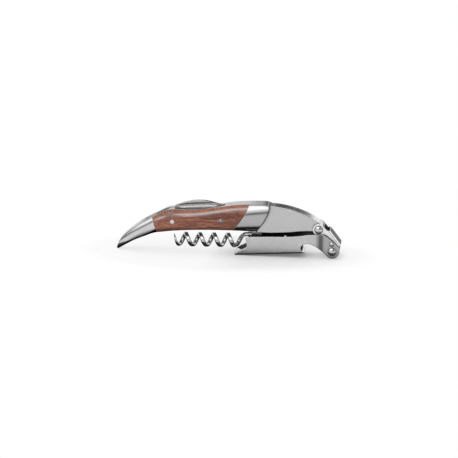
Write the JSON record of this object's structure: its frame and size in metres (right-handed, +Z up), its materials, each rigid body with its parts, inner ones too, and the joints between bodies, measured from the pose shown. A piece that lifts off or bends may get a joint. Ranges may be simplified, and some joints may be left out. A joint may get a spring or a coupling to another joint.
{
  "type": "waiters corkscrew",
  "caption": "Folding waiters corkscrew: wooden scales on a steel frame, hinged link and lever with bottle lip foot and crown cap notch, coiled worm and foil knife.",
  "frame": {"origin": "centre of the closed tool's footprint box, on the surface it stands on", "axes": "+X along the handle from the pointed tail to the lever hinge, +Y across the handle to the far side, +Z up"},
  "size_m": [0.1294, 0.0174, 0.0301],
  "materials": {
    "brushed_steel": "fine brushed stainless, grain along the handle",
    "satin_steel": "satin stainless",
    "dark_steel": "dull pin end",
    "polished_steel": "polished stainless",
    "blade_steel": "polished blade with ground bevels",
    "spring_steel": "plain spring steel",
    "worm_steel": "polished drawn wire",
    "washer_brass": "turned brass",
    "rosewood": "oiled rosewood, dark grain along the handle"
  },
  "bodies": {
    "frame": {"frame_plate_front": "brushed_steel", "frame_plate_back": "brushed_steel", "tail_spacer": "satin_steel", "back_spacer": "satin_steel", "spine_stud": "dark_steel", "tail_cap_front": "polished_steel", "tail_cap_back": "polished_steel", "scale_front": "rosewood", "scale_back": "rosewood", "collar_front": "polished_steel", "collar_back": "polished_steel", "knife_pin": "polished_steel", "spring_rivet": "satin_steel", "worm_pin": "satin_steel", "tail_rivets": "satin_steel", "collar_rivets": "satin_steel", "spacer_dowels": "satin_steel", "knife_washers": "washer_brass", "knife_spring": "spring_steel", "worm_washers": "washer_brass", "link_pin": "polished_steel"},
    "link": {"link": "satin_steel"},
    "lever": {"lever": "brushed_steel", "lever_pin": "polished_steel", "lever_washers": "washer_brass", "stop_pin": "polished_steel"},
    "worm": {"worm_wire": "worm_steel", "worm_knuckle": "satin_steel"},
    "knife": {"knife_blade": "blade_steel"}
  },
  "joints": [
    {"name": "link_hinge", "type": "hinge", "parent": "frame", "child": "link", "pos_m": [0.0518, 0, 0.0164], "axis": [0, -1, 0], "range_deg": [0, 90]},
    {"name": "lever_hinge", "type": "hinge", "parent": "link", "child": "lever", "pos_m": [0.05975, 0, 0.00435], "axis": [0, -1, 0], "range_deg": [0, 135]},
    {"name": "worm_hinge", "type": "hinge", "parent": "frame", "child": "worm", "pos_m": [0.016, 0, 0.0178], "axis": [0, -1, 0], "range_deg": [0, 90]},
    {"name": "knife_hinge", "type": "hinge", "parent": "frame", "child": "knife", "pos_m": [-0.0317, 0, 0.0183], "axis": [0, -1, 0], "range_deg": [0, 90]}
  ],
  "couplings": [
    {"joint": "worm_hinge", "follows": "lever_hinge", "ratio": 0.6666}
  ]
}
